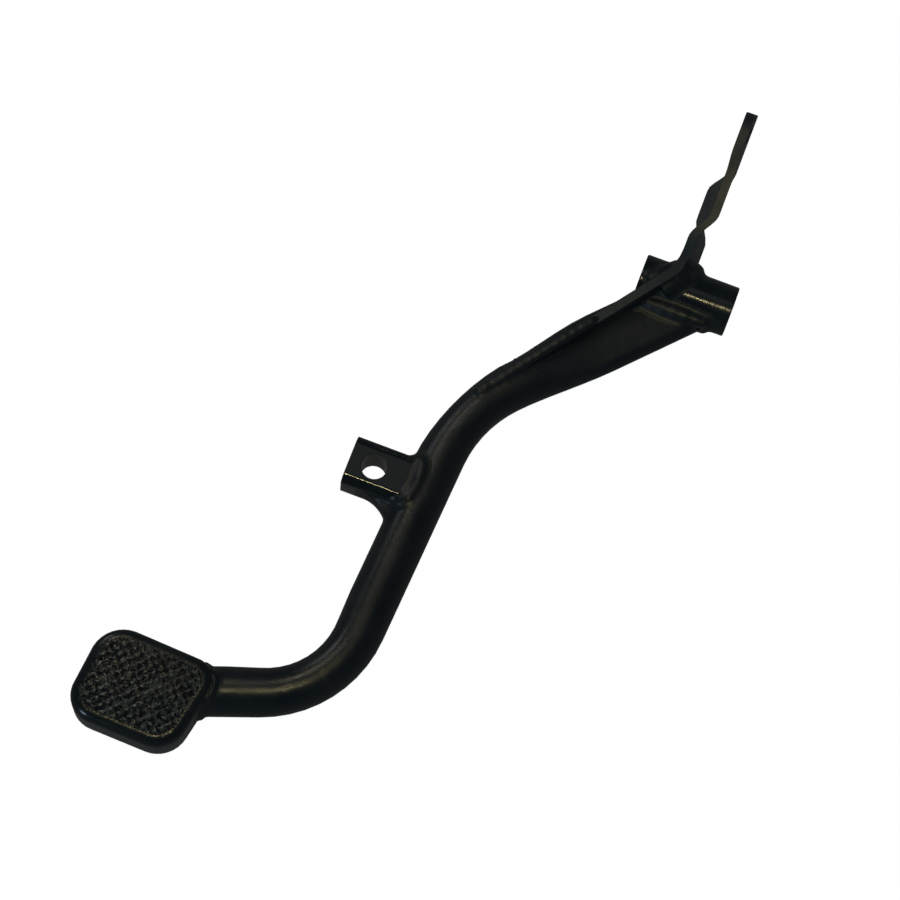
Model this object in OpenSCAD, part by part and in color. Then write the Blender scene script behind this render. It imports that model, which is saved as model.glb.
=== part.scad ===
// Rear brake pedal: a bent steel tube carries a pressed foot pad at its front end and is
// welded to a pivot tube at its rear end. A twisted side plate stiffens the joint and
// runs on to the rear as the lever that pulls the brake rod. A drilled lug on the arm
// holds the height adjuster.
// Frame: origin at the middle of the pivot bore, +X forward, +Y inboard, +Z up.

/* [Pivot tube] */
// Outside diameter of the pivot tube
pivot_d = 20; // [18:0.5:22]
// Diameter of the pivot bore
pivot_bore = 14; // [10:0.5:15]
// Length of the pivot tube
pivot_len = 38; // [36:1:44]

/* [Arm tube] */
// Outside diameter of the arm tube
arm_d = 19; // [18:0.5:20]
// Wall thickness of the arm tube
arm_wall = 2; // [1.5:0.1:2.5]
// Angle of the rear leg, outboard from straight ahead
rear_angle = 42.7; // [41:0.1:44]
// Angle of the middle leg, outboard from straight ahead
mid_angle = 3.5; // [0:0.1:8]
// Angle of the pad leg, outboard from straight ahead
pad_angle = 69.5; // [64:0.1:74]
// Length of the rear leg, corner to corner
rear_leg = 102.4; // [98:0.1:106]
// Length of the middle leg, corner to corner
mid_leg = 121.8; // [115:0.1:130]
// Length of the pad leg, from its corner to the middle of the pad
pad_leg = 69.6; // [66:0.1:74]
// Where the rear leg's axis meets the pivot axis, inboard of its middle
arm_cross_y = 4.7; // [4:0.1:6]
// Bend radius between the rear and middle legs
rear_bend_r = 55; // [48:1:60]
// Bend radius between the middle and pad legs
front_bend_r = 41; // [36:1:46]
// Width of the flattened end
flat_w = 24.6; // [23:0.1:26]
// Length of the flattened end from the pivot axis
flat_len = 42; // [36:1:48]
// Thickness of the flattened end
flat_t = 9.5; // [9:0.5:11]

/* [Foot pad] */
// Height of the pad's crown above the tube's axis
pad_rise = 12.6; // [12.5:0.1:14]
// Height of the crown above the pad's rim
crown_rise = 1.2; // [1.1:0.1:1.3]
// Depth of the pad's skirt below the tube's axis
pad_drop = 5.5; // [4:0.5:7]
// Sheet thickness of the pad
pad_wall = 1.8; // [1.5:0.1:1.8]
// Radius of the pad's rolled edge
pad_edge_r = 3.6; // [3:0.1:4]
// Radius of the crown over the tread
crown_r = 400; // [380:20:800]
// Spacing of the tread's crossed grooves
tread_pitch = 2.85; // [2.5:0.05:4]
// Depth of the tread's grooves
tread_depth = 0.5; // [0.3:0.05:0.55]
// Width of the smooth rim round the tread
rim_w = 4.2; // [4.1:0.1:5]

/* [Adjuster lug] */
// Width of the lug along the arm
lug_w = 19.6; // [17:0.2:20]
// Height of the lug
lug_h = 17.8; // [16:0.2:18]
// Corner radius of the lug
lug_r = 4; // [3:0.5:5]
// Distance of the lug's middle in front of the pivot
lug_x = 111.2; // [106:0.2:114]
// Distance from the arm's axis to the lug's free end
lug_reach = 30.6; // [28:0.2:33]
// Diameter of the hole through the lug
lug_bore = 10; // [6:0.5:10.5]

/* [Side plate and lever] */
// Sheet thickness of the plate
plate_t = 3.5; // [3:0.1:4]
// Angle of the plate's front leg to the pedal's length
plate_angle = 37.1; // [36:0.1:38]
// Rise of the lever above straight back
lever_rise = 28; // [24:1:31]
// Distance from the pivot axis to the rod hole
lever_reach = 67; // [62:0.5:74]
// Diameter of the brake rod's hole
rod_bore = 8; // [6:0.5:9]
// Radius of the lever's round end
eye_r = 8; // [7:0.5:9]

/* [Welds] */
// Bead radius round the arm's end
arm_bead_r = 2.2; // [1.8:0.1:2.6]
// Radius of the wide bead over the top of the arm's end
top_bead_r = 3.2; // [2.8:0.1:3.4]
// Bead radius at the lever's foot, outboard
foot_bead_r = 2.8; // [2.2:0.1:2.9]
// Bead radius at the lever's foot, inboard
inboard_bead_r = 3.6; // [2.8:0.1:3.8]
// Bead radius along the plate's edge
edge_bead_r = 2.3; // [2.1:0.1:2.6]
// Bead radius round the lug
lug_bead_r = 2; // [2:0.1:2.8]
// Bead radius round the tube at the pad
pad_bead_r = 1.6; // [1.5:0.1:2]

/* [Hidden] */

$fn = 48;
paint = "#15181b";
bead_paint = "#1d2124";
// How far a cutter runs past the face it opens
past = 5;

pivot_r = pivot_d / 2;
arm_r = arm_d / 2;

// Heading of a leg that leaves straight ahead by an angle to the outboard side
function heading(a) = [cos(a), -sin(a), 0];
// Left-hand side of that heading, level
function side(a) = [sin(a), cos(a), 0];
function unit(v) = v / norm(v);
// Smooth step from 0 to 1 as x goes from a to b
function ramp(x, a, b) = let (t = min(1, max(0, (x - a) / (b - a)))) t * t * (3 - 2 * t);

arm_start = [0, arm_cross_y, 0];
rear_corner = arm_start + rear_leg * heading(rear_angle);
front_corner = rear_corner + mid_leg * heading(mid_angle);
pad_mid = front_corner + pad_leg * heading(pad_angle);
// The tube runs on a little past the middle of the pad
tube_overrun = 8;

// Length lost to a bend on each side of its corner
function bend_back(a0, a1, r) = r * tan(abs(a1 - a0) / 2);
rear_back = bend_back(rear_angle, mid_angle, rear_bend_r);
front_back = bend_back(mid_angle, pad_angle, front_bend_r);

// Solid through rings of equal length, capped at both ends or closed on itself
module skin(rings, closed = false) {
    n = len(rings);
    m = len(rings[0]);
    walls = [for (i = [0:closed ? n - 1 : n - 2], k = [0:m - 1])
        let (j = (i + 1) % n, a = i * m + k, b = i * m + (k + 1) % m,
             c = j * m + k, d = j * m + (k + 1) % m)
        each [[a, b, c], [b, d, c]]];
    caps = closed ? [] : [[for (k = [m - 1:-1:0]) k], [for (k = [0:m - 1]) (n - 1) * m + k]];
    polyhedron([for (r = rings) each r], concat(walls, caps));
}

// The arm is a row of stations: centre, heading, width and height of its section. The
// shift moves a centre to the left of its heading.
function station(p, a, w, t, shift = 0) = [p + shift * side(a), a, w, t];
arm_sides = 32;
function arm_ring(s, shrink = 0) =
    let (w = s[2] - 2 * shrink, t = s[3] - 2 * shrink, r = min(w, t) / 2, wide = w / 2 - r, high = t / 2 - r)
    [for (k = [0:arm_sides - 1]) let (b = 360 * (k + 0.5) / arm_sides)
        s[0] + (sign(cos(b)) * wide + r * cos(b)) * side(s[1])
            - [0, 0, sign(sin(b)) * high + r * sin(b)]];
module arm_part(stations) {
    skin([for (s = stations) arm_ring(s)]);
}

// Both bends lose some width on the side that faces outboard
rear_squash = 2.2;
front_squash = 1.2;
function squash(f) = sin(20 + 140 * f);
function bend_stations(corner, a0, a1, bend_r, steps, squash_w) =
    let (left = a1 < a0 ? 1 : -1,
         centre = corner - bend_back(a0, a1, bend_r) * heading(a0) + left * bend_r * side(a0))
    [for (i = [0:steps]) let (a = a0 + (a1 - a0) * i / steps, lost = squash_w * squash(i / steps))
        station(centre - left * bend_r * side(a), a, arm_d - lost, arm_d, lost / 2)];

// The rear leg is round at the bend and pressed flat and wide at the pivot
round_from = rear_leg - rear_back;
flat_from = 6;
flat_shift = -0.6;
function rear_station(along) = let (f = ramp(along, flat_len, round_from), lost = rear_squash * squash(0))
    station(arm_start + along * heading(rear_angle), rear_angle,
        flat_w + (arm_d - lost - flat_w) * f, flat_t + (arm_d - flat_t) * f,
        flat_shift * (1 - f) + lost / 2 * f);
rear_stations = [for (a = [flat_from, each [flat_len:7:round_from - 4]]) rear_station(a)];

// Round stations a little past each bend
past_bend = 12;
function round_station(corner, a, along) = station(corner + along * heading(a), a, arm_d, arm_d);
mid_stations = [round_station(rear_corner, mid_angle, rear_back + past_bend),
                round_station(front_corner, mid_angle, -front_back - past_bend)];
pad_stations = [round_station(front_corner, pad_angle, front_back + past_bend),
                round_station(pad_mid, pad_angle, tube_overrun)];
rear_bend = bend_stations(rear_corner, rear_angle, mid_angle, rear_bend_r, 7, rear_squash);
front_bend = bend_stations(front_corner, mid_angle, pad_angle, front_bend_r, 10, front_squash);
arm_stations = concat(rear_stations, rear_bend, mid_stations, front_bend, pad_stations);
// The stretches that other pieces are shaped to
lug_side_stations = concat([rear_bend[len(rear_bend) - 1]], mid_stations);
plate_side_stations = concat(rear_stations, rear_bend);

module pivot_skin() {
    rotate([90, 0, 0]) cylinder(h = pivot_len + past, r = pivot_r, center = true);
}

module pivot_tube() {
    color(paint) rotate([90, 0, 0]) difference() {
        cylinder(h = pivot_len, r = pivot_r, center = true);
        cylinder(h = pivot_len + past, d = pivot_bore, center = true);
    }
}

// Outside from rear to front, then the inside back again
module arm_tube() {
    outside = [for (s = arm_stations) arm_ring(s)];
    count = len(arm_stations);
    inside = [for (i = [count - 1:-1:0]) arm_ring(arm_stations[i], arm_wall)];
    color(paint) difference() {
        skin(concat(outside, inside), closed = true);
        pivot_skin();
    }
}

// The pad's outline runs round four corners: place from the pad's middle, and radius
pad_corners = [[-5.3, -10, 13.1], [8.6, -13.4, 11], [7.9, 8.8, 12.3], [-8.1, 15.1, 9.2]];
corner_sides = 36;

// A slice of the pad between two heights, with an inset from the outline at each. It
// reaches a little below its lower height, so that slices on one another are one solid.
slice_lap = 0.05;
module pad_slice(z0, inset0, z1, inset1) {
    translate(pad_mid) hull() for (c = pad_corners) translate([c[0], c[1], z0]) {
        cylinder(h = z1 - z0, r1 = c[2] - inset0, r2 = c[2] - inset1, $fn = corner_sides);
        translate([0, 0, -slice_lap]) cylinder(h = slice_lap, r = c[2] - inset0, $fn = corner_sides);
    }
}

// The form of a pressed cap: straight sides and a rounded edge up to a flat top
module pad_form(inset, bottom, top, edge_r, steps) {
    low = top - edge_r;
    pad_slice(bottom + slice_lap, inset, low, inset);
    for (k = [0:steps - 1]) let (a = 90 * k / steps, b = 90 * (k + 1) / steps)
        pad_slice(low + edge_r * sin(a), inset + edge_r * (1 - cos(a)),
            low + edge_r * sin(b), inset + edge_r * (1 - cos(b)));
}
rim_top = pad_rise - crown_rise;

// The tread is a crowned field of small pyramids. Its grid runs square to the pad, and
// every other point is low, so the grooves cross at 45 degrees to the pad's sides.
tread_step = tread_pitch / sqrt(2);
tread_nx = ceil(34 / tread_step);
tread_ny = ceil(46 / tread_step);
function tread_point(i, j) = let (x = (i - tread_nx / 2) * tread_step, y = (j - tread_ny / 2) * tread_step)
    pad_mid + [x, y, pad_rise - (x * x + y * y) / (2 * crown_r) - ((i + j) % 2 == 0 ? tread_depth : 0)];

module tread_field(floor_z) {
    nx = tread_nx;
    ny = tread_ny;
    top = [for (i = [0:nx], j = [0:ny]) tread_point(i, j)];
    rim = concat([for (i = [0:nx - 1]) i * (ny + 1)], [for (j = [0:ny - 1]) nx * (ny + 1) + j],
                 [for (i = [nx:-1:1]) i * (ny + 1) + ny], [for (j = [ny:-1:1]) j]);
    base = len(top);
    count = len(rim);
    cells = [for (i = [0:nx - 1], j = [0:ny - 1])
        let (a = i * (ny + 1) + j, b = a + ny + 1)
        each (i + j) % 2 == 0 ? [[a, a + 1, b + 1], [a, b + 1, b]] : [[a, a + 1, b], [a + 1, b + 1, b]]];
    walls = [for (k = [0:count - 1]) let (m = (k + 1) % count)
        each [[rim[k], rim[m], base + m], [rim[k], base + m, base + k]]];
    polyhedron(concat(top, [for (k = rim) [top[k][0], top[k][1], floor_z]]),
        concat(cells, walls, [[for (k = [0:count - 1]) base + k]]));
}

module foot_pad() {
    color(paint) difference() {
        union() {
            pad_form(0, -pad_drop, rim_top, pad_edge_r, 4);
            intersection() {
                pad_slice(rim_top - pad_wall / 2, rim_w, pad_rise + 1, rim_w);
                tread_field(rim_top - pad_wall);
            }
        }
        pad_form(pad_wall, -pad_drop - past, rim_top - pad_wall, pad_edge_r - pad_wall, 3);
        arm_part(pad_stations);
    }
}

// The lug is a thick bar with rounded corners, coped to the arm and drilled upright
lug_root = rear_corner + (lug_x - rear_corner[0]) / cos(mid_angle) * heading(mid_angle);
lug_hole_reach = 20.7;
lug_flat_w = lug_w - 2 * lug_r;
lug_flat_h = lug_h - 2 * lug_r;
module lug_bar() {
    translate(lug_root) rotate([90, 0, 0]) linear_extrude(lug_reach) union() {
        square([lug_w, lug_flat_h], center = true);
        square([lug_flat_w, lug_h], center = true);
        for (x = [-1, 1], z = [-1, 1]) translate([x * lug_flat_w, z * lug_flat_h] / 2)
            circle(r = lug_r, $fn = 32);
    }
}

module adjuster_lug() {
    color(paint) difference() {
        lug_bar();
        arm_part(lug_side_stations);
        translate(lug_root - [0, lug_hole_reach, 0])
            cylinder(h = lug_h + past, d = lug_bore, center = true);
    }
}

// The side plate is a ruled sheet between a top and a bottom edge. Each station holds
// a top point, a bottom point and the level direction of the sheet's thickness.
knee = [-4, -6.1, 0];
knee_r = 8;
knee_back = knee_r * tan(plate_angle / 2);
plate_front = 92;
plate_low_z = 1;
knee_top_z = 14.5;
waist_top_z = 12;
front_top_z = 9;

// Height of the top edge at a distance in front of the knee
function front_top(d) = knee_top_z - (knee_top_z - waist_top_z) * ramp(d, 8, 45)
    - (waist_top_z - front_top_z) * ramp(d, 45, plate_front);

function front_station(d) = let (p = knee + d * heading(plate_angle))
    [p + [0, 0, front_top(d)], p + [0, 0, plate_low_z], side(plate_angle)];

knee_centre = knee + knee_back * heading(plate_angle) - knee_r * side(plate_angle);
function knee_station(f) = let (n = side(plate_angle * (1 - f)), p = knee_centre + knee_r * n)
    [p + [0, 0, knee_top_z], p + [0, 0, plate_low_z], n];

// The lever's centre line runs from the knee to the rod hole
lever_root = [knee[0] - knee_back, 0, 5];
eye = [-lever_reach * cos(lever_rise), 0, lever_reach * sin(lever_rise)];
lever_len = norm(eye - lever_root);
lever_dir = (eye - lever_root) / lever_len;
lever_slope = atan2(lever_dir[2], -lever_dir[0]);

// How far inboard the two edges lie. The sheet leans one way at its root and the other
// way behind the twist, then stands nearly upright to the rod hole.
top_root_y = -5.2;
top_waist_y = -0.2;
top_eye_y = -0.9;
bottom_root_y = -1.1;
bottom_waist_y = -4.5;
bottom_eye_y = 0.4;
function top_y(x) = knee[1] + (top_root_y - knee[1]) * ramp(-x, 4, 12)
    + (top_waist_y - top_root_y) * ramp(-x, 15, 26)
    + (top_eye_y - top_waist_y) * ramp(-x, 41, 50);
function bottom_y(x) = knee[1] + (bottom_root_y - knee[1]) * ramp(-x, 2, 12)
    + (bottom_waist_y - bottom_root_y) * ramp(-x, 22, 30)
    + (bottom_eye_y - bottom_waist_y) * ramp(-x, 40, 48);

// Widths above and below the lever's centre line, tapered to the round end
root_above = knee_top_z - lever_root[2];
belly_above = 11;
root_below = lever_root[2] - plate_low_z;
belly_below = 12;
taper_from = 12;
taper_to = 48;
end_round = 0.2;
function round_off(s) = s > lever_len ? sqrt(max(pow(end_round, 2), 1 - pow((s - lever_len) / eye_r, 2))) : 1;
function above(s) = round_off(s) * (root_above + (belly_above - root_above) * ramp(s, 0, 10)
    - (belly_above - eye_r) * ramp(s, taper_from, taper_to));
function below(s) = round_off(s) * (root_below + (belly_below - root_below) * ramp(s, 0, 7)
    - (belly_below - eye_r) * ramp(s, taper_from, taper_to));

function lever_station(s) =
    let (c = lever_root + s * lever_dir, tilt = lever_slope * ramp(s, 0, 25),
         across = [sin(tilt), 0, cos(tilt)],
         top = c + above(s) * across, bottom = c - below(s) * across)
    [[top[0], top_y(top[0]), top[2]], [bottom[0], bottom_y(bottom[0]), bottom[2]], [0, 1, 0]];

plate_stations = concat(
    [for (d = [plate_front, 70, 45, 30, 20, 12, 6]) front_station(d)],
    [for (f = [0:0.25:1]) knee_station(f)],
    [for (s = [2:2:lever_len - 1]) lever_station(s)],
    [for (b = [0:15:90]) lever_station(lever_len + eye_r * sin(b))]);

function sheet_ring(s) = let (h = s[2] * plate_t / 2) [s[0] + h, s[0] - h, s[1] - h, s[1] + h];
module plate_skin() {
    skin([for (s = plate_stations) sheet_ring(s)]);
}

module rod_lever() {
    color(paint) difference() {
        plate_skin();
        pivot_skin();
        arm_part(plate_side_stations);
        translate(eye) rotate([90, 0, 0]) cylinder(h = 6 * plate_t, d = rod_bore, center = true);
    }
}

// Weld bead: a string along a path, a little thicker at every other ring. The up
// direction keeps its rings from turning round the path.
bead_sides = 8;
ripple = 0.08;
function path_dir(path, i, closed) = let (n = len(path),
    a = closed ? path[(i + n - 1) % n] : path[max(0, i - 1)],
    b = closed ? path[(i + 1) % n] : path[min(n - 1, i + 1)]) unit(b - a);
function bead_ring(p, dir, up, r) = let (u = unit(cross(dir, up)), v = cross(u, dir))
    [for (k = [0:bead_sides - 1]) let (b = 360 * k / bead_sides) p + r * (cos(b) * u + sin(b) * v)];

// The radius is one number or a list with one for each point of the path
module bead(path, r, closed = false, up = [0, 0, 1]) {
    skin([for (i = [0:len(path) - 1]) bead_ring(path[i], path_dir(path, i, closed), up,
        (is_list(r) ? r[i] : r) * (1 + (i % 2 == 0 ? ripple : -ripple)))], closed);
}

// Where the flattened end's outline meets the pivot tube, q across the leg and z up
flat_reach = (flat_w - flat_t) / 2;
function arm_weld_point(q, z) =
    let (x = sqrt(pivot_r * pivot_r - z * z), w = q + flat_shift,
         a = (x - w * sin(rear_angle)) / cos(rear_angle))
    arm_start + a * heading(rear_angle) + w * side(rear_angle) + [0, 0, z];
// From the plate over the top, round the inboard side and back underneath
arm_weld_path = concat(
    [for (q = [-flat_reach:flat_reach / 4:flat_reach - 1]) arm_weld_point(q, flat_t / 2)],
    [for (b = [90:-20:-90]) arm_weld_point(flat_reach + flat_t / 2 * cos(b), flat_t / 2 * sin(b))],
    [for (q = [flat_reach - 1:-flat_reach / 4:-flat_reach]) arm_weld_point(q, -flat_t / 2)]);

// The wide bead lies in front of the other one, thins out towards both ends and runs on
// a little along the pivot tube
top_bead_shift = 1.4;
top_bead_thin = 0.3;
top_bead_past = 12.5;
top_bead_steps = 12;
top_bead_f = [for (k = [0:top_bead_steps]) k / top_bead_steps];
top_bead_path = [for (f = top_bead_f) arm_weld_point((flat_reach + top_bead_past) * f - flat_reach, flat_t / 2)
    + top_bead_shift * heading(rear_angle)];
top_bead_radii = [for (f = top_bead_f) top_bead_r * (1 - top_bead_thin * pow(2 * f - 1, 2))];

module arm_bead() {
    bead(arm_weld_path, arm_bead_r, up = heading(rear_angle));
    bead(top_bead_path, top_bead_radii, up = heading(rear_angle));
}

module arm_weld() {
    color(bead_paint) difference() {
        arm_bead();
        pivot_skin();
        arm_part(rear_stations);
        plate_skin();
    }
}

// Bead over the plate's top edge where it lies against the tube
edge_weld_from = 38;
edge_bead_drop = 0.5;
module plate_weld() {
    path = [for (d = [plate_front:-2:edge_weld_from])
        knee + d * heading(plate_angle) + [0, 0, front_top(d) - edge_bead_drop]];
    color(bead_paint) difference() {
        bead(path, edge_bead_r);
        plate_skin();
        arm_part(plate_side_stations);
    }
}

// Where one face of the plate meets the pivot tube, by the angle round the tube
function foot_y(x, z) = x > knee[0] ? knee[1] - (x - knee[0]) * tan(plate_angle)
    : bottom_y(x) + (top_y(x) - bottom_y(x)) * (z - plate_low_z) / (knee_top_z - plate_low_z);
foot_offset = plate_t / 2 + 1.1;
function foot_point(b, s) = let (x = pivot_r * cos(b), z = pivot_r * sin(b))
    [x, foot_y(x, z) + s * foot_offset / (x > knee[0] ? cos(plate_angle) : 1), z];

module foot_weld(s, from, to, r) {
    difference() {
        bead([for (b = [from:8:to]) foot_point(b, s)], r, up = [0, 1, 0]);
        plate_skin();
        pivot_skin();
        arm_part(rear_stations);
        arm_bead();
    }
}
module foot_weld_outboard() {
    color(bead_paint) foot_weld(-1, 72, 176, foot_bead_r);
}
module foot_weld_inboard() {
    color(bead_paint) foot_weld(1, 64, 176, inboard_bead_r);
}

// Round the lug where it meets the arm
function lug_outline(b) = let (f = [cos(b), sin(b)])
    [sign(f[0]) * min(lug_flat_w / 2, abs(f[0]) * lug_w) + lug_r * f[0],
     sign(f[1]) * min(lug_flat_h / 2, abs(f[1]) * lug_h) + lug_r * f[1]];
lug_weld_path = [for (b = [7.5:15:359]) let (o = lug_outline(b)) lug_root
    + [o[0], -o[0] * tan(mid_angle) - sqrt(pow(arm_r, 2) - pow(o[1], 2)), o[1]]];

// Hollow fillet in the corner in front of the lug, longer up the lug than along the arm.
// It keeps to the flat of the lug's front face.
fillet_w = 8.6;
fillet_up_lug = 14;
fillet_h = 9.2;
fillet_sides = 64;
module lug_fillet() {
    corner = lug_root + [lug_w / 2, -arm_r, 0];
    translate(corner) linear_extrude(fillet_h, center = true) difference() {
        translate([-1, -fillet_up_lug]) square([fillet_w + 1, fillet_up_lug + arm_r / 2]);
        scale([fillet_w, fillet_up_lug]) translate([1.15, -1.15]) circle(r = 1.17, $fn = fillet_sides);
    }
}

module lug_weld() {
    color(bead_paint) difference() {
        union() {
            bead(lug_weld_path, lug_bead_r, closed = true, up = [0, 1, 0]);
            lug_fillet();
        }
        lug_bar();
        arm_part(lug_side_stations);
    }
}

// Round the tube where it meets the pad's rounded corner
pad_hit = pad_corners[3];
function pad_weld_point(b) =
    let (p = front_corner + arm_r * cos(b) * side(pad_angle) - pad_mid, h = heading(pad_angle),
         c = [pad_hit[0], pad_hit[1], 0], m = (c - p) * h,
         gap = min(norm(p + m * h - c), pad_hit[2] - 1))
    pad_mid + p + (m - sqrt(pow(pad_hit[2], 2) - pow(gap, 2))) * h + [0, 0, arm_r * sin(b)];

module pad_weld() {
    color(bead_paint) difference() {
        bead([for (b = [0:12:359]) pad_weld_point(b)], pad_bead_r, closed = true, up = heading(pad_angle));
        pad_slice(-pad_drop - past, 0, pad_rise, 0);
        arm_part(pad_stations);
    }
}

pivot_tube();
arm_tube();
foot_pad();
adjuster_lug();
rod_lever();
arm_weld();
plate_weld();
foot_weld_outboard();
foot_weld_inboard();
lug_weld();
pad_weld();
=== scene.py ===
"""A motorbike's rear brake pedal in black enamel, seen from above on a pale floor."""
import bpy
import bmesh
import math
from mathutils import Matrix, Vector, noise
from mathutils.bvhtree import BVHTree


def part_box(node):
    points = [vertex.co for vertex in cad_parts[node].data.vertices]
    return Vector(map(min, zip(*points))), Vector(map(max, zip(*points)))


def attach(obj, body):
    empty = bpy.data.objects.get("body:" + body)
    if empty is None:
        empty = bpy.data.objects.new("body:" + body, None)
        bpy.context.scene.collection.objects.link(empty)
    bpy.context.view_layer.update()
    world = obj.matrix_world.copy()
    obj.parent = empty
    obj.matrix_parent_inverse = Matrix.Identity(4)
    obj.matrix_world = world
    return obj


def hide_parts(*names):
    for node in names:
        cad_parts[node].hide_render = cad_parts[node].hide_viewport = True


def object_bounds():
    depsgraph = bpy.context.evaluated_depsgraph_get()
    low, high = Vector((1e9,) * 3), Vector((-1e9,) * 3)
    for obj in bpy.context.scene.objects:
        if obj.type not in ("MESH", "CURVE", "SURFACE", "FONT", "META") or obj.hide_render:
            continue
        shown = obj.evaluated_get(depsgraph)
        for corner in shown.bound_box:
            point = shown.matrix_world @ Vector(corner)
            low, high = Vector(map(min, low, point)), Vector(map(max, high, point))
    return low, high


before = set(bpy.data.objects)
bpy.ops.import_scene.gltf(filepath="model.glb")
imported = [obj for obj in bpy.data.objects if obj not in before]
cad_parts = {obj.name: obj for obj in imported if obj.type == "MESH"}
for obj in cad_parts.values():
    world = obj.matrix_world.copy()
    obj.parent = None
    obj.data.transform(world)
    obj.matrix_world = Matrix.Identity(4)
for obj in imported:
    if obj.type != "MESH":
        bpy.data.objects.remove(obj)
solid_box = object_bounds()

MM = 0.001
PIVOT_PARTS = ["pivot_tube", "arm_tube", "rod_lever"]
PIVOT_WELDS = ["arm_weld", "plate_weld", "foot_weld_outboard", "foot_weld_inboard"]

# The pedal's middle, which the lamps face, and the directions along which they lie
PEDAL_MIDDLE = Vector((0.09, -0.07, 0.0))
FORWARD = (1, 0, 0)
INBOARD = (0, 1, 0)

# The floor's level as the camera sees it and as the paint mirrors it: the bench is in shade
FLOOR_SEEN = 0.98
FLOOR_IN_PAINT = 0.06
FLOOR_HALF_SIDE = 5.0
FLOOR_GAP = 0.2 * MM

# The room's level as the paint mirrors it, at the sides and overhead, and on dull surfaces
SIDES_IN_PAINT = 0.11
CEILING_IN_PAINT = 0.06
ROOM_ON_DULL = 0.3

# Patterns in the enamel, in repeats to the metre
DRIFT_SCALE = 60.0
DUST_SCALE = 900.0
PATCH_SCALE = 140.0
PEEL_SCALE = 1000.0
WAVE_SCALE = 200.0
GRIT_SCALE = 1000.0
# How deep the grit is, and the height over which it sets in
GRIT_DEPTH = 0.12 * MM
GRIT_RISE = 0.3 * MM

# Joining of a CAD node's triangles: corners this close are one, and thinner slivers go
SAME_CORNER = 0.004 * MM
SLIVER = 0.002 * MM

# The melted surface of a joint, in mm: its voxels, how far from a bead it goes past the skin's
# reach, and how far past that reach the nearest bead is looked for
VOXEL = 0.35
MELT_PAST_REACH = 9
SEARCH_PAST_REACH = 8

# The skin of a weld, in mm: its film, its ripples, and the border that is tucked under the part
FILM = 0.05
RIPPLE = 0.08
BORDER = 1.4
TUCK = 0.12
# The ripples in repeats to the metre, and the fast ones' share of the slow ones' height
SLOW_RIPPLES = 170
FAST_RIPPLES = 430
FAST_SHARE = 0.3

# Spatter: the smallest ball's share of the full radius, and the least upward part of its ground
SMALLEST_BALL = 0.35
LEAST_UPWARD = 0.3
SPATTER_SEED = 7

# The value sockets of a Mix node, and its result, by data type
MIX_SOCKETS = {"FLOAT": (2, 3, 0), "RGBA": (6, 7, 2)}


def facing(right, up, back, place):
    """The matrix of a camera or a lamp at a place, from its own three directions."""
    return Matrix((
        (right.x, up.x, back.x, place.x),
        (right.y, up.y, back.y, place.y),
        (right.z, up.z, back.z, place.z),
        (0.0, 0.0, 0.0, 1.0)))


def pedal_camera():
    """Looks down on the pedal from the place where the photograph was taken."""
    tilt, yaw, roll = (math.radians(a) for a in (16.0, 3.0, 20.5))
    distance = 1.2
    sensor_width = 36.0
    metres_per_pixel = 0.39 * MM
    # The photograph's width and the middle of the pivot bore in it, in pixels
    photo_width, pivot_x, pivot_y = 900.0, 685.2, 295.3
    middle = photo_width / 2
    back = Vector((math.tan(tilt), math.tan(yaw), 1.0)).normalized()
    inboard = Vector((0.0, 1.0, 0.0))
    inboard = (inboard - back * inboard.dot(back)).normalized()
    across = inboard.cross(back)
    right = inboard * math.cos(roll) - across * math.sin(roll)
    down = inboard * math.sin(roll) + across * math.cos(roll)
    place = (back * distance - right * (pivot_x - middle) * metres_per_pixel
             - down * (pivot_y - middle) * metres_per_pixel)
    data = bpy.data.cameras.new("pedal_camera")
    data.sensor_width = sensor_width
    data.lens = sensor_width * distance / metres_per_pixel / photo_width
    data.clip_start = 0.01
    data.clip_end = 20.0
    camera = bpy.data.objects.new("pedal_camera", data)
    camera.matrix_world = facing(right, -down, back, place)
    bpy.context.scene.collection.objects.link(camera)
    bpy.context.scene.camera = camera


def add_node(tree, kind, values=None, **settings):
    """One node, with its settings, and with its sockets set or linked by name or number."""
    made = tree.nodes.new(kind)
    for name, value in settings.items():
        setattr(made, name, value)
    for name, value in (values or {}).items():
        socket = made.inputs[name]
        if isinstance(value, bpy.types.NodeSocket):
            tree.links.new(value, socket)
        else:
            socket.default_value = value
    return made


def reckoned(tree, operation, *values):
    """The result of a math node."""
    made = add_node(tree, "ShaderNodeMath", dict(enumerate(values)), operation=operation)
    return made.outputs[0]


def mixed(tree, data_type, amount, first, second):
    """The result of a Mix node: first where the amount is 0, second where it is 1."""
    first_socket, second_socket, result = MIX_SOCKETS[data_type]
    made = add_node(tree, "ShaderNodeMix",
                    {0: amount, first_socket: first, second_socket: second}, data_type=data_type)
    return made.outputs[result]


def paint_colour(code):
    """An sRGB hex code as linear red, green, blue and 1."""
    parts = [int(code[i:i + 2], 16) / 255 for i in (1, 3, 5)]
    return [c / 12.92 if c <= 0.04045 else ((c + 0.055) / 1.055) ** 2.4 for c in parts] + [1.0]


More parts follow.
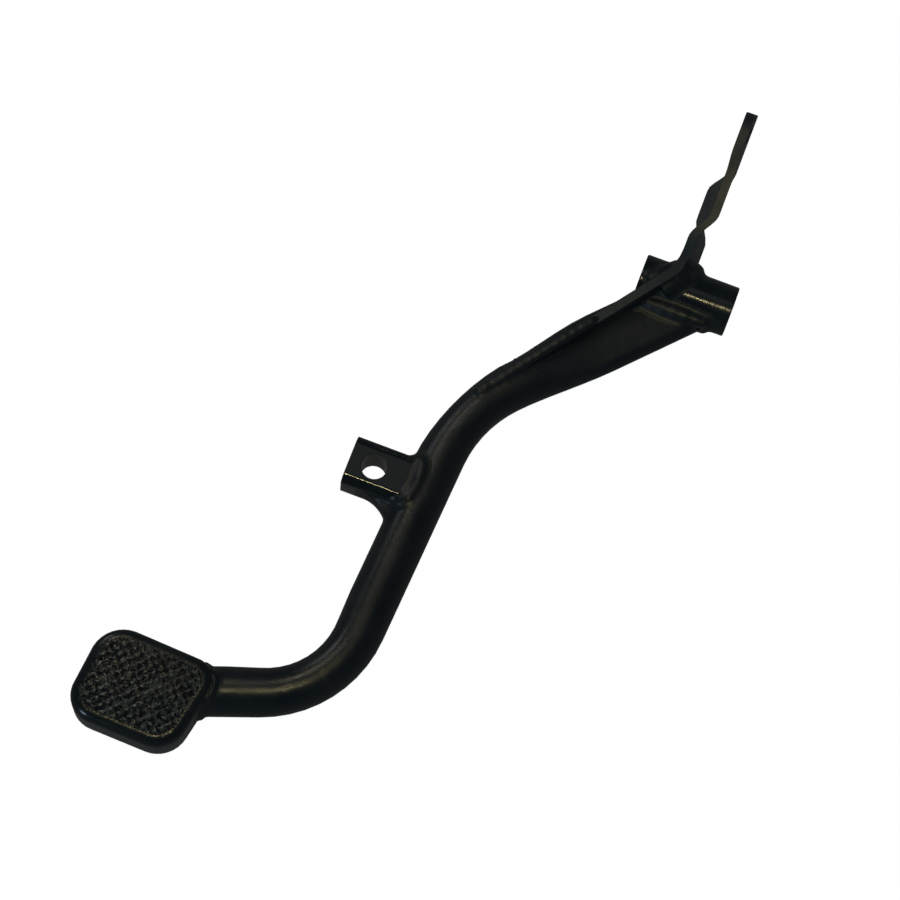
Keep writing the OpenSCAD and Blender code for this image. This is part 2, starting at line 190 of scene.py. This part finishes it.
def gritted(tree, place, colour, normal, floor_height):
    """Paint with grit under it, on what lies above a given height: its colour, with painted glints
    and painted shade on the grains, and its normal.
    """
    height = add_node(tree, "ShaderNodeSeparateXYZ", {"Vector": place}).outputs["Z"]
    tread = add_node(tree, "ShaderNodeMapRange",
                     {"Value": height, "From Min": floor_height,
                      "From Max": floor_height + GRIT_RISE})
    # 1 mm from grain to grain: finer grit wouldn't show in the picture
    grains = add_node(tree, "ShaderNodeTexVoronoi", {"Vector": place, "Scale": GRIT_SCALE})
    domes = reckoned(tree, "SUBTRACT", 1.0, grains.outputs["Distance"])
    raised = reckoned(tree, "MULTIPLY", domes, tread.outputs["Result"])
    bump = add_node(tree, "ShaderNodeBump",
                    {"Height": raised, "Strength": 1.0, "Distance": GRIT_DEPTH, "Normal": normal})
    # Grains are painted lighter or darker at random: the light ones are dust and painted glints on
    # the tread's crests, the dark ones bare black paint and painted shade in its pits
    chance = add_node(tree, "ShaderNodeSeparateColor", {"Color": grains.outputs["Color"]})
    dust = add_node(tree, "ShaderNodeMapRange",
                    {"Value": chance.outputs["Red"], "From Min": 0.35, "From Max": 1.0},
                    interpolation_type="SMOOTHSTEP")
    bare_and_shaded, dust_and_glint = paint_colour("#020406"), paint_colour("#3a3c36")
    shade = mixed(tree, "RGBA", dust.outputs["Result"], bare_and_shaded, dust_and_glint)
    speckled = mixed(tree, "RGBA", tread.outputs["Result"], colour, shade)
    return speckled, bump.outputs["Normal"]


def black_enamel(name, dark, light, roughness, peel_depth, speck_amount, grit_above=None):
    """Sprayed enamel: slow change of shade, orange peel, and fine dust in the paint."""
    material = bpy.data.materials.new(name)
    material.use_nodes = True
    tree = material.node_tree
    tree.nodes.clear()
    place = add_node(tree, "ShaderNodeTexCoord").outputs["Object"]
    # Shade drifts over 15 to 20 mm
    drift = add_node(tree, "ShaderNodeTexNoise",
                     {"Vector": place, "Scale": DRIFT_SCALE, "Detail": 3.0})
    shade = mixed(tree, "RGBA", drift.outputs["Fac"], paint_colour(dark), paint_colour(light))
    # Dust specks, 0.3 mm wide
    dust = add_node(tree, "ShaderNodeTexVoronoi", {"Vector": place, "Scale": DUST_SCALE})
    speck = add_node(tree, "ShaderNodeMapRange",
                     {"Value": dust.outputs["Distance"], "From Min": 0.12, "From Max": 0.05,
                      "To Min": 0.0, "To Max": speck_amount})
    patch = add_node(tree, "ShaderNodeTexNoise",
                     {"Vector": place, "Scale": PATCH_SCALE, "Detail": 2.0})
    some = add_node(tree, "ShaderNodeMapRange",
                    {"Value": patch.outputs["Fac"], "From Min": 0.52, "From Max": 0.62})
    here = reckoned(tree, "MULTIPLY", speck.outputs["Result"], some.outputs["Result"])
    colour = mixed(tree, "RGBA", here, shade, paint_colour("#6b6248"))
    # The paint is rougher where the spray was dry
    smoother, rougher = roughness - 0.05, roughness + 0.08
    dry = add_node(tree, "ShaderNodeMapRange",
                   {"Value": drift.outputs["Fac"], "From Min": 0.3, "From Max": 0.7,
                    "To Min": smoother, "To Max": rougher})
    # Orange peel, 1 mm from crest to crest, over a slower 5 mm waviness three times as high
    peel = add_node(tree, "ShaderNodeTexNoise",
                    {"Vector": place, "Scale": PEEL_SCALE, "Detail": 2.0})
    wave = add_node(tree, "ShaderNodeTexNoise",
                    {"Vector": place, "Scale": WAVE_SCALE, "Detail": 1.0})
    waviness = 3.0
    both = reckoned(tree, "MULTIPLY_ADD", wave.outputs["Fac"], waviness, peel.outputs["Fac"])
    bump = add_node(tree, "ShaderNodeBump",
                    {"Height": both, "Strength": 1.0, "Distance": peel_depth})
    normal = bump.outputs["Normal"]
    if grit_above is not None:
        colour, normal = gritted(tree, place, colour, normal, grit_above)
    paint = add_node(tree, "ShaderNodeBsdfPrincipled",
                     {"Base Color": colour, "Roughness": dry.outputs["Result"],
                      "Normal": normal, "IOR": 1.5})
    add_node(tree, "ShaderNodeOutputMaterial", {"Surface": paint.outputs["BSDF"]})
    return material


# Gloss enamel sprayed on steel: near black, with sharp lights that the orange peel breaks up
enamel = black_enamel("gloss_black_enamel", "#0a1115", "#181d1f",
                      roughness=0.14, peel_depth=0.025 * MM, speck_amount=0.5)
# The same enamel over drawn tube, where it shows only broad soft lights
arm_enamel = black_enamel("semi_gloss_black_enamel", "#0a1115", "#1a1f21",
                          roughness=0.32, peel_depth=0.03 * MM, speck_amount=0.5)
# The same enamel on the stamped plate, whose rough face and sheared edges leave it dull. Its shades
# are painted lighter than the other enamels' to stand in for the light on the lever's faces
plate_enamel_painted_light = black_enamel("dull_black_enamel_painted_light", "#171c1f", "#2a2f31",
                            roughness=0.42, peel_depth=0.04 * MM, speck_amount=0.6)
# The same enamel, dulled by handling, and gritty from just under the foot of the tread up, with dust
# and painted glints and painted shade on the grit
pad_enamel = black_enamel("satin_black_enamel", "#0a1013", "#1b1f1e",
                          roughness=0.25, peel_depth=0.03 * MM, speck_amount=0.8,
                          grit_above=11.2 * MM)
# A thick coat that has run together over the rough welds: their lights are broad and soft
weld_enamel = black_enamel("enamel_over_weld", "#0a1115", "#1a1f20",
                           roughness=0.40, peel_depth=0.03 * MM, speck_amount=0.6)


def object_from(bm, name, finish):
    """A linked object from a bmesh, with its finish."""
    mesh = bpy.data.meshes.new(name)
    bm.to_mesh(mesh)
    bm.free()
    mesh.materials.append(finish)
    made = bpy.data.objects.new(name, mesh)
    bpy.context.scene.collection.objects.link(made)
    return made


def settled(made):
    """The object with its modifiers worked into its mesh."""
    graph = bpy.context.evaluated_depsgraph_get()
    mesh = bpy.data.meshes.new_from_object(made.evaluated_get(graph))
    made.modifiers.clear()
    made.data = mesh
    return made


def merged(node):
    """A CAD node's triangles, joined into one surface."""
    bm = bmesh.new()
    bm.from_mesh(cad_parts[node].data)
    bmesh.ops.remove_doubles(bm, verts=bm.verts, dist=SAME_CORNER)
    bmesh.ops.dissolve_degenerate(bm, edges=bm.edges, dist=SLIVER)
    bmesh.ops.recalc_face_normals(bm, faces=bm.faces)
    return bm


def seat(piece, slot, *nodes):
    """Puts a finished piece on the pedal in place of its CAD nodes."""
    if nodes:
        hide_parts(*nodes)
    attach(piece, "root")


def shade_smooth(bm, crease):
    """Smooth shading, but for edges sharper than the crease angle."""
    limit = math.radians(crease)
    for face in bm.faces:
        face.smooth = True
    for edge in bm.edges:
        edge.smooth = edge.is_manifold and edge.calc_face_angle(0.0) < limit


def painted_part(node, name, finish, slot, crease=28, edge_round=0.0):
    """A CAD node with smooth shading and its sharp edges softened by paint."""
    bm = merged(node)
    flat = math.radians(0.3)
    bmesh.ops.dissolve_limit(bm, angle_limit=flat, verts=bm.verts, edges=bm.edges)
    shade_smooth(bm, crease)
    made = object_from(bm, name, finish)
    if edge_round:
        soften = made.modifiers.new("edges", "BEVEL")
        soften.width = edge_round * MM
        soften.segments = 2
        soften.limit_method = "ANGLE"
        soften.angle_limit = math.radians(crease)
        soften.harden_normals = True
        settled(made)
    seat(made, slot, node)


def search_tree(node):
    """A search tree over a CAD node's triangles."""
    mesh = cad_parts[node].data
    return BVHTree.FromPolygons([v.co.copy() for v in mesh.vertices],
                                [list(p.vertices) for p in mesh.polygons])


def cut_to_box(bm, low, high):
    """Cuts a closed mesh to a box and closes it again."""
    on_plane = 1e-7
    for axis in range(3):
        for corner, outward in ((low, -1.0), (high, 1.0)):
            normal = Vector((0.0, 0.0, 0.0))
            normal[axis] = outward
            place = Vector((0.0, 0.0, 0.0))
            place[axis] = corner[axis]
            cut = bmesh.ops.bisect_plane(
                bm, geom=bm.verts[:] + bm.edges[:] + bm.faces[:], plane_co=place,
                plane_no=normal, clear_outer=True, dist=on_plane)
            edges = [piece for piece in cut["geom_cut"] if isinstance(piece, bmesh.types.BMEdge)]
            if edges:
                bmesh.ops.holes_fill(bm, edges=edges, sides=0)
    bmesh.ops.triangulate(bm, faces=bm.faces)


def smooth_step(x):
    """From 0 to 1 as x goes from 0 to 1."""
    x = min(1.0, max(0.0, x))
    return x * x * (3 - 2 * x)


def melted(parts, welds, rounds, margin):
    """The parts and the beads near a joint as one smoothed surface."""
    boxes = [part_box(weld) for weld in welds]
    low = Vector([min(box[0][i] for box in boxes) - margin * MM for i in range(3)])
    high = Vector([max(box[1][i] for box in boxes) + margin * MM for i in range(3)])
    melt = bmesh.new()
    for node in parts + welds:
        bm = merged(node)
        cut_to_box(bm, low, high)
        mesh = bpy.data.meshes.new("melt")
        bm.to_mesh(mesh)
        bm.free()
        melt.from_mesh(mesh)
        bpy.data.meshes.remove(mesh)
    made = object_from(melt, "melt", weld_enamel)
    remesh = made.modifiers.new("melt", "REMESH")
    remesh.mode = "VOXEL"
    remesh.voxel_size = VOXEL * MM
    relax = made.modifiers.new("relax", "SMOOTH")
    relax.factor = 1.0
    relax.iterations = rounds
    return settled(made)


def lifted(vertex, far, reach):
    """Where the weld's skin lies: over the parts near a bead, just under them at its border."""
    slow = noise.noise(vertex.co * SLOW_RIPPLES)
    fast = noise.noise(vertex.co * FAST_RIPPLES)
    bumps = slow + FAST_SHARE * fast
    rise = FILM + RIPPLE * bumps * max(0.0, 1 - far / reach)
    border = smooth_step((far - reach + BORDER) / BORDER)
    return vertex.co + vertex.normal * (rise * (1 - border) - TUCK * border) * MM


def flooded_welds(parts, welds, rounds, reach):
    """Welds under a coat of enamel.

    The parts and the beads are melted into one fine surface near the joint and smoothed,
    so that each bead runs into its neighbours. What lies near a bead is kept as that
    weld's skin. Gives back the melted surface, with the nearest weld to each of its corners
    and the distance to it, for the spatter.
    """
    made = melted(parts, welds, rounds, reach + MELT_PAST_REACH)
    trees = {weld: search_tree(weld) for weld in welds}
    source = made.data
    nearest = []
    for vertex in source.vertices:
        best, nearest_weld = SEARCH_PAST_REACH + reach, None
        for weld, tree in trees.items():
            distance = tree.find_nearest(vertex.co, best * MM)[3]
            if distance is not None and distance < best * MM:
                best, nearest_weld = distance / MM, weld
        nearest.append((nearest_weld, best))
    for weld in welds:
        bm = bmesh.new()
        index = {}
        for face in source.polygons:
            corners = [nearest[i] for i in face.vertices]
            if corners[0][0] != weld or min(corner[1] for corner in corners) > reach:
                continue
            for i in face.vertices:
                if i not in index:
                    index[i] = bm.verts.new(lifted(source.vertices[i], nearest[i][1], reach))
            bm.faces.new([index[i] for i in face.vertices]).smooth = True
        seat(object_from(bm, weld + "_bead", weld_enamel), "weld_enamel", weld)
    return made, nearest


def spatter_tree():
    """Geometry nodes: small balls of spatter, scattered over the ground that they are given."""
    tree = bpy.data.node_groups.new("weld_spatter", "GeometryNodeTree")
    for name, kind in (("Ground", "Geometry"), ("Balls per square metre", "Float"),
                       ("Ball radius", "Float"), ("Seed", "Int"), ("Finish", "Material")):
        tree.interface.new_socket(name, in_out="INPUT", socket_type="NodeSocket" + kind)
    tree.interface.new_socket("Spatter", in_out="OUTPUT", socket_type="NodeSocketGeometry")
    given = add_node(tree, "NodeGroupInput").outputs
    points = add_node(tree, "GeometryNodeDistributePointsOnFaces",
                      {"Mesh": given["Ground"], "Density": given["Balls per square metre"],
                       "Seed": given["Seed"]})
    ball = add_node(tree, "GeometryNodeMeshIcoSphere",
                    {"Radius": given["Ball radius"], "Subdivisions": 3})
    # Sockets 2 and 3 are the least and the most of the number that is drawn
    size = add_node(tree, "FunctionNodeRandomValue",
                    {2: SMALLEST_BALL, 3: 1.0, "Seed": given["Seed"]}, data_type="FLOAT")
    balls = add_node(tree, "GeometryNodeInstanceOnPoints",
                     {"Points": points.outputs["Points"], "Instance": ball.outputs["Mesh"],
                      "Scale": size.outputs[1]})
    real = add_node(tree, "GeometryNodeRealizeInstances", {"Geometry": balls.outputs["Instances"]})
    round_balls = add_node(tree, "GeometryNodeSetShadeSmooth", {"Geometry": real.outputs["Geometry"]})
    done = add_node(tree, "GeometryNodeSetMaterial",
                    {"Geometry": round_balls.outputs["Geometry"], "Material": given["Finish"]})
    add_node(tree, "NodeGroupOutput", {"Spatter": done.outputs["Geometry"]})
    return tree


def weld_spatter(melt, nearest, near, far, along, top, density, radius):
    """Spatter under the paint: on the arm below a height, and within given distances of a bead."""
    bm = bmesh.new()
    index = {}
    for face in melt.data.polygons:
        gap = min(nearest[i][1] for i in face.vertices)
        weld = nearest[face.vertices[0]][0]
        x, z = face.center.x / MM, face.center.z / MM
        if weld is None or not near < gap < far or not along[0] < x < along[1]:
            continue
        if z > top or face.normal.z < LEAST_UPWARD:
            continue
        for i in face.vertices:
            if i not in index:
                index[i] = bm.verts.new(melt.data.vertices[i].co)
        bm.faces.new([index[i] for i in face.vertices])
    ground = object_from(bm, "weld_spatter", weld_enamel)
    tree = spatter_tree()
    scatter = ground.modifiers.new("spatter", "NODES")
    scatter.node_group = tree
    wanted = {"Balls per square metre": density, "Ball radius": radius * MM,
              "Seed": SPATTER_SEED, "Finish": weld_enamel}
    for socket in tree.interface.items_tree:
        if socket.in_out == "INPUT" and socket.name in wanted:
            scatter[socket.identifier] = wanted[socket.name]
    seat(settled(ground), "weld_enamel")


def pale_floor():
    """Floor that is near white to the camera and shaded where the paint mirrors it."""
    mesh = bpy.data.meshes.new("floor")
    half = FLOOR_HALF_SIDE
    low = solid_box[0][2] - FLOOR_GAP
    mesh.from_pydata([(-half, -half, low), (half, -half, low), (half, half, low),
                      (-half, half, low)], [], [(0, 1, 2, 3)])
    floor = bpy.data.objects.new("floor", mesh)
    bpy.context.scene.collection.objects.link(floor)
    pale = bpy.data.materials.new("pale_floor")
    pale.use_nodes = True
    tree = pale.node_tree
    tree.nodes.clear()
    ray = add_node(tree, "ShaderNodeLightPath").outputs
    seen = reckoned(tree, "MAXIMUM", ray["Is Camera Ray"], ray["Is Glossy Ray"])
    clear = reckoned(tree, "MAXIMUM", seen, ray["Is Transmission Ray"])
    level = reckoned(tree, "MULTIPLY_ADD",
                     ray["Is Glossy Ray"], FLOOR_IN_PAINT - FLOOR_SEEN, FLOOR_SEEN)
    plain = add_node(tree, "ShaderNodeBsdfDiffuse", {"Color": paint_colour("#d8d8d6")})
    thin = add_node(tree, "ShaderNodeBsdfDiffuse", {"Color": paint_colour("#4a4a4a")})
    glow = add_node(tree, "ShaderNodeEmission",
                    {"Color": (1.0, 1.0, 1.0, 1.0), "Strength": level})
    lit = add_node(tree, "ShaderNodeAddShader", {0: thin.outputs[0], 1: glow.outputs[0]})
    surface = add_node(tree, "ShaderNodeMixShader",
                       {0: clear, 1: plain.outputs[0], 2: lit.outputs[0]})
    add_node(tree, "ShaderNodeOutputMaterial", {"Surface": surface.outputs[0]})
    mesh.materials.append(pale)


def white_room():
    """White to the camera, and a dim room with a darker ceiling in the paint."""
    world = bpy.data.worlds.new("room")
    bpy.context.scene.world = world
    world.use_nodes = True
    tree = world.node_tree
    tree.nodes.clear()
    ray = add_node(tree, "ShaderNodeLightPath").outputs
    way = add_node(tree, "ShaderNodeTexCoord").outputs["Generated"]
    height = add_node(tree, "ShaderNodeSeparateXYZ", {"Vector": way}).outputs["Z"]
    ceiling = add_node(tree, "ShaderNodeMapRange",
                       {"Value": height, "From Min": 0.0, "From Max": 0.6,
                        "To Min": SIDES_IN_PAINT, "To Max": CEILING_IN_PAINT},
                       interpolation_type="SMOOTHSTEP")
    mirrored = reckoned(tree, "MAXIMUM", ray["Is Glossy Ray"], ray["Is Transmission Ray"])
    dim = mixed(tree, "FLOAT", mirrored, ROOM_ON_DULL, ceiling.outputs["Result"])
    level = mixed(tree, "FLOAT", ray["Is Camera Ray"], dim, 1.0)
    cool, white = paint_colour("#c4dcf6"), paint_colour("#ffffff")
    tint = mixed(tree, "RGBA", ray["Is Camera Ray"], cool, white)
    sky = add_node(tree, "ShaderNodeBackground", {"Color": tint, "Strength": level})
    add_node(tree, "ShaderNodeOutputWorld", {"Surface": sky.outputs[0]})


def lamp(name, place, length, width, watts, colour, along):
    """A rectangular lamp that faces the pedal, with its length along a given direction."""
    data = bpy.data.lights.new(name, "AREA")
    data.shape = "RECTANGLE"
    data.size = length
    data.size_y = width
    data.energy = watts
    data.color = paint_colour(colour)[:3]
    made = bpy.data.objects.new(name, data)
    place = Vector(place)
    back = (place - PEDAL_MIDDLE).normalized()
    side = Vector(along) - back * Vector(along).dot(back)
    side.normalize()
    made.matrix_world = facing(side, back.cross(side), back, place)
    bpy.context.scene.collection.objects.link(made)


def studio():
    """Pale floor, a dim room and the lights that the photograph's highlights show."""
    bpy.context.scene.view_settings.view_transform = "Standard"
    pale_floor()
    white_room()
    # Two bulbs near the camera draw the thin lines along the pivot tube and the lug
    lamp("pivot_bulb", place=(0.30, 0.03, 1.11), length=0.035, width=0.02, watts=0.6,
         colour="#fff0b4", along=INBOARD)
    lamp("lug_bulb", place=(0.30, -0.172, 1.11), length=0.045, width=0.02, watts=0.8,
         colour="#fff0b4", along=INBOARD)
    # A tube lamp above and behind the pedal draws the short, broad glint on the rear bend
    lamp("bend_tube", place=(-0.365, -0.545, 0.99), length=0.24, width=0.03, watts=0.8,
         colour="#fff4d8", along=(0.276, 0.961, 0))
    # Two windows on the outboard side: a long one behind, and a small cool one in front
    lamp("side_window", place=(-0.33, -0.80, 0.45), length=0.30, width=0.12, watts=0.5,
         colour="#f6f4ec", along=FORWARD)
    lamp("cool_window", place=(0.89, -0.52, 0.40), length=0.09, width=0.09, watts=1.2,
         colour="#bfe4ff", along=INBOARD)
    # A pale card over the rear end is a faint, broad light in the paint
    lamp("pale_card", place=(-0.24, -0.13, 1.15), length=0.5, width=0.4, watts=0.16,
         colour="#fbf8ee", along=INBOARD)


pedal_camera()
studio()
painted_part("pivot_tube", "pivot_bush", enamel, "enamel", edge_round=0.5)
painted_part("arm_tube", "bent_arm", arm_enamel, "enamel", crease=40)
painted_part("adjuster_lug", "drilled_lug", enamel, "enamel", edge_round=0.4)
painted_part("rod_lever", "twisted_lever", plate_enamel_painted_light, "enamel", edge_round=0.4)
painted_part("foot_pad", "pressed_pad", pad_enamel, "pad_enamel", crease=24)

joint, gaps = flooded_welds(PIVOT_PARTS, PIVOT_WELDS, rounds=60, reach=3.2)
weld_spatter(joint, gaps, near=1.0, far=7.0, along=(14.0, 58.0), top=10.5,
             density=14000, radius=0.6)
bpy.data.objects.remove(joint)
for carrier, bead, smoothing in (("adjuster_lug", "lug_weld", 70), ("foot_pad", "pad_weld", 24)):
    joint, gaps = flooded_welds(["arm_tube", carrier], [bead], rounds=smoothing, reach=2.8)
    bpy.data.objects.remove(joint)
